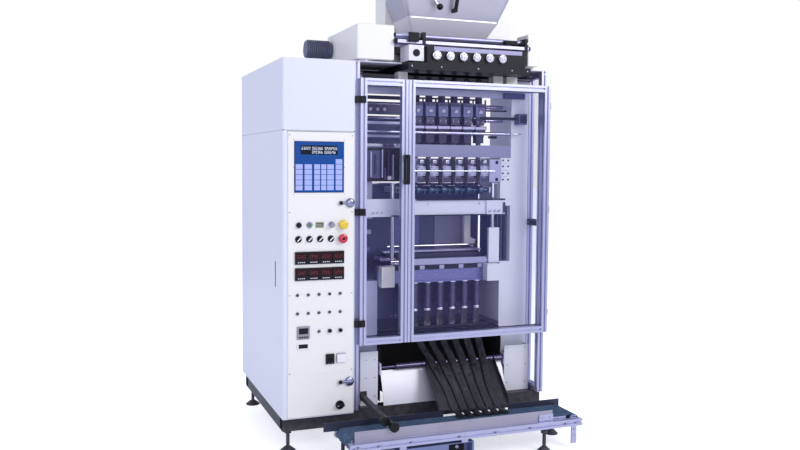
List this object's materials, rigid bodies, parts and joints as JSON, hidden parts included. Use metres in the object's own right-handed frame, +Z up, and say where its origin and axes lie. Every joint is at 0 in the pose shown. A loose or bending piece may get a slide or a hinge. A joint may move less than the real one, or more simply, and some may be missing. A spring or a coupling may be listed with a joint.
{
  "type": "vertical form fill sealer",
  "caption": "Upright multi-lane stick-pack machine with a side control cabinet, glazed guard doors round the sealing bay, a hopper on top and a short take-away belt in front.",
  "frame": {"origin": "centre of the plan bounding box, on the floor", "axes": "+X to the right seen from the operator, +Y into the machine, +Z up"},
  "size_m": [1.292, 1.2849, 2.21],
  "materials": {
    "base_frame": "satin",
    "levelling_feet": "satin",
    "cabinet_shell": "satin",
    "switchgear": "matt",
    "guard_frame": "anodised",
    "side_window": "clear",
    "column_left": "satin",
    "column_right": "satin",
    "gear_case": "satin",
    "main_gearmotor": "painted",
    "cross_beams": "anodised",
    "lane_tubes": "brushed",
    "guide_columns": "polished",
    "top_deck": "satin",
    "side_housings": "satin",
    "doser_motor": "satin",
    "doser_body": "anodised",
    "doser_cylinders": "polished",
    "hopper": "brushed",
    "stick_strips": "glossy film",
    "discharge_chute": "satin",
    "polished_apron": "polished",
    "conveyor_frame": "anodised",
    "conveyor_belt": "satin",
    "clamp_arm": "satin",
    "reel_stand": "satin",
    "left_door_frame": "anodised",
    "left_door_pane": "clear",
    "door_handle": "matt",
    "right_door_frame": "anodised",
    "right_door_pane": "clear",
    "cabinet_door": "satin",
    "panel_instruments": "matt",
    "film_reel": "glossy film",
    "latch_upper": "polished",
    "latch_lower": "polished",
    "main_switch": "glossy",
    "selector_1": "glossy",
    "selector_2": "glossy",
    "selector_3": "glossy",
    "selector_4": "glossy",
    "mode_selector": "glossy",
    "key_switch": "polished",
    "start_button": "glossy",
    "jog_button": "glossy",
    "emergency_stop": "glossy",
    "seal_carriage": "anodised",
    "jaw_carriage": "anodised",
    "front_jaw": "brushed",
    "rear_jaw": "brushed",
    "knife_bar": "brushed",
    "pull_roller": "brushed",
    "pinch_roller": "matt",
    "guide_roller": "polished",
    "dancer_arm": "anodised",
    "conveyor_drive_roller": "brushed",
    "conveyor_idler_roller": "brushed",
    "clamp_knob_left": "glossy",
    "clamp_knob_right": "glossy",
    "hopper_gate_lever": "glossy"
  },
  "bodies": {
    "machine_frame": {"base_frame": "base_frame", "levelling_feet": "levelling_feet", "cabinet_shell": "cabinet_shell", "switchgear": "switchgear", "guard_frame": "guard_frame", "side_window": "side_window", "column_left": "column_left", "column_right": "column_right", "gear_case": "gear_case", "main_gearmotor": "main_gearmotor", "cross_beams": "cross_beams", "lane_tubes": "lane_tubes", "guide_columns": "guide_columns", "top_deck": "top_deck", "side_housings": "side_housings", "doser_motor": "doser_motor", "doser_body": "doser_body", "doser_cylinders": "doser_cylinders", "hopper": "hopper", "stick_strips": "stick_strips", "discharge_chute": "discharge_chute", "polished_apron": "polished_apron", "conveyor_frame": "conveyor_frame", "conveyor_belt": "conveyor_belt", "clamp_arm": "clamp_arm", "reel_stand": "reel_stand"},
    "left_door": {"left_door_frame": "left_door_frame", "left_door_pane": "left_door_pane", "door_handle": "door_handle"},
    "right_door": {"right_door_frame": "right_door_frame", "right_door_pane": "right_door_pane"},
    "cabinet_door": {"cabinet_door": "cabinet_door", "panel_instruments": "panel_instruments"},
    "film_reel": {"film_reel": "film_reel"},
    "latch_upper": {"latch_upper": "latch_upper"},
    "latch_lower": {"latch_lower": "latch_lower"},
    "main_switch": {"main_switch": "main_switch"},
    "selector_1": {"selector_1": "selector_1"},
    "selector_2": {"selector_2": "selector_2"},
    "selector_3": {"selector_3": "selector_3"},
    "selector_4": {"selector_4": "selector_4"},
    "mode_selector": {"mode_selector": "mode_selector"},
    "key_switch": {"key_switch": "key_switch"},
    "start_button": {"start_button": "start_button"},
    "jog_button": {"jog_button": "jog_button"},
    "emergency_stop": {"emergency_stop": "emergency_stop"},
    "seal_carriage": {"seal_carriage": "seal_carriage"},
    "jaw_carriage": {"jaw_carriage": "jaw_carriage"},
    "front_jaw": {"front_jaw": "front_jaw"},
    "rear_jaw": {"rear_jaw": "rear_jaw"},
    "knife_bar": {"knife_bar": "knife_bar"},
    "pull_roller": {"pull_roller": "pull_roller"},
    "pinch_roller": {"pinch_roller": "pinch_roller"},
    "guide_roller": {"guide_roller": "guide_roller"},
    "dancer_arm": {"dancer_arm": "dancer_arm"},
    "conveyor_drive_roller": {"conveyor_drive_roller": "conveyor_drive_roller"},
    "conveyor_idler_roller": {"conveyor_idler_roller": "conveyor_idler_roller"},
    "clamp_knob_left": {"clamp_knob_left": "clamp_knob_left"},
    "clamp_knob_right": {"clamp_knob_right": "clamp_knob_right"},
    "hopper_gate_lever": {"hopper_gate_lever": "hopper_gate_lever"}
  },
  "joints": [
    {"name": "left_door_swing", "type": "hinge", "parent": "machine_frame", "child": "left_door", "pos_m": [-0.305, -0.3205, 1.045], "axis": [0, 0, -1], "range_deg": [0, 100]},
    {"name": "right_door_swing", "type": "hinge", "parent": "machine_frame", "child": "right_door", "pos_m": [0.644, -0.2865, 1.045], "axis": [0, 0, 1], "range_deg": [0, 100]},
    {"name": "cabinet_door_swing", "type": "hinge", "parent": "machine_frame", "child": "cabinet_door", "pos_m": [-0.6265, -0.319, 0.78], "axis": [0, 0, -1], "range_deg": [0, 100]},
    {"name": "latch_upper_turn", "type": "hinge", "parent": "cabinet_door", "child": "latch_upper", "pos_m": [-0.35, -0.3175, 1.089], "axis": [0, 1, 0], "range_deg": [-90, 0]},
    {"name": "latch_lower_turn", "type": "hinge", "parent": "cabinet_door", "child": "latch_lower", "pos_m": [-0.35, -0.3175, 0.31], "axis": [0, 1, 0], "range_deg": [-90, 0]},
    {"name": "main_switch_turn", "type": "hinge", "parent": "cabinet_door", "child": "main_switch", "pos_m": [-0.393, -0.3175, 0.21], "axis": [0, 1, 0], "range_deg": [0, 90]},
    {"name": "selector_1_turn", "type": "hinge", "parent": "cabinet_door", "child": "selector_1", "pos_m": [-0.578, -0.3175, 0.936], "axis": [0, 1, 0], "range_deg": [0, 90]},
    {"name": "selector_2_turn", "type": "hinge", "parent": "cabinet_door", "child": "selector_2", "pos_m": [-0.53, -0.3175, 0.936], "axis": [0, 1, 0], "range_deg": [0, 90]},
    {"name": "selector_3_turn", "type": "hinge", "parent": "cabinet_door", "child": "selector_3", "pos_m": [-0.483, -0.3175, 0.936], "axis": [0, 1, 0], "range_deg": [0, 90]},
    {"name": "selector_4_turn", "type": "hinge", "parent": "cabinet_door", "child": "selector_4", "pos_m": [-0.435, -0.3175, 0.936], "axis": [0, 1, 0], "range_deg": [0, 90]},
    {"name": "mode_selector_turn", "type": "hinge", "parent": "cabinet_door", "child": "mode_selector", "pos_m": [-0.577, -0.3175, 0.996], "axis": [0, 1, 0], "range_deg": [0, 90]},
    {"name": "key_switch_turn", "type": "hinge", "parent": "cabinet_door", "child": "key_switch", "pos_m": [-0.433, -0.3175, 0.996], "axis": [0, 1, 0], "range_deg": [0, 90]},
    {"name": "start_button_press", "type": "slide", "parent": "cabinet_door", "child": "start_button", "axis": [0, 1, 0], "range_m": [0, 0.004], "stiffness_N_per_m": 400},
    {"name": "jog_button_press", "type": "slide", "parent": "cabinet_door", "child": "jog_button", "axis": [0, 1, 0], "range_m": [0, 0.005], "stiffness_N_per_m": 500},
    {"name": "emergency_stop_press", "type": "slide", "parent": "cabinet_door", "child": "emergency_stop", "axis": [0, 1, 0], "range_m": [0, 0.005], "stiffness_N_per_m": 500},
    {"name": "seal_carriage_slide", "type": "slide", "parent": "machine_frame", "child": "seal_carriage", "axis": [0, 1, 0], "range_m": [0, 0.008]},
    {"name": "jaw_carriage_lift", "type": "slide", "parent": "machine_frame", "child": "jaw_carriage", "axis": [0, 0, 1], "range_m": [-0.06, 0.03]},
    {"name": "front_jaw_close", "type": "slide", "parent": "jaw_carriage", "child": "front_jaw", "axis": [0, 1, 0], "range_m": [0, 0.013]},
    {"name": "rear_jaw_close", "type": "slide", "parent": "jaw_carriage", "child": "rear_jaw", "axis": [0, -1, 0], "range_m": [0, 0.013]},
    {"name": "knife_stroke", "type": "slide", "parent": "machine_frame", "child": "knife_bar", "axis": [0, 1, 0], "range_m": [0, 0.016]},
    {"name": "pull_roller_spin", "type": "hinge", "parent": "machine_frame", "child": "pull_roller", "pos_m": [0.177, -0.0955, 1.136], "axis": [1, 0, 0], "continuous": true},
    {"name": "pinch_roller_spin", "type": "hinge", "parent": "machine_frame", "child": "pinch_roller", "pos_m": [0.177, -0.1395, 1.136], "axis": [1, 0, 0], "continuous": true},
    {"name": "guide_roller_spin", "type": "hinge", "parent": "machine_frame", "child": "guide_roller", "pos_m": [0.145, -0.2135, 0.33], "axis": [1, 0, 0], "continuous": true},
    {"name": "film_reel_spin", "type": "hinge", "parent": "machine_frame", "child": "film_reel", "pos_m": [0.199, 0.4425, 0.56], "axis": [1, 0, 0], "continuous": true},
    {"name": "dancer_swing", "type": "hinge", "parent": "machine_frame", "child": "dancer_arm", "pos_m": [0.199, 0.2825, 0.98], "axis": [1, 0, 0], "range_deg": [-20, 25]},
    {"name": "conveyor_drive_roller_spin", "type": "hinge", "parent": "machine_frame", "child": "conveyor_drive_roller", "pos_m": [0.618, -0.5115, 0.1168], "axis": [0, 1, 0], "continuous": true},
    {"name": "conveyor_idler_roller_spin", "type": "hinge", "parent": "machine_frame", "child": "conveyor_idler_roller", "pos_m": [-0.414, -0.5115, 0.1168], "axis": [0, 1, 0], "continuous": true},
    {"name": "clamp_knob_left_turn", "type": "hinge", "parent": "machine_frame", "child": "clamp_knob_left", "pos_m": [-0.28, -0.5675, 0.2], "axis": [0, 1, 0], "continuous": true},
    {"name": "clamp_knob_right_turn", "type": "hinge", "parent": "machine_frame", "child": "clamp_knob_right", "pos_m": [-0.25, -0.6035, 0.182], "axis": [0, 1, 0], "continuous": true},
    {"name": "hopper_gate_turn", "type": "hinge", "parent": "machine_frame", "child": "hopper_gate_lever", "pos_m": [0.076, -0.2005, 2.022], "axis": [0, 1, 0], "range_deg": [0, 70]}
  ],
  "couplings": [
    {"joint": "rear_jaw_close", "follows": "front_jaw_close", "ratio": 1},
    {"joint": "pinch_roller_spin", "follows": "pull_roller_spin", "ratio": -1},
    {"joint": "conveyor_idler_roller_spin", "follows": "conveyor_drive_roller_spin", "ratio": 1}
  ]
}
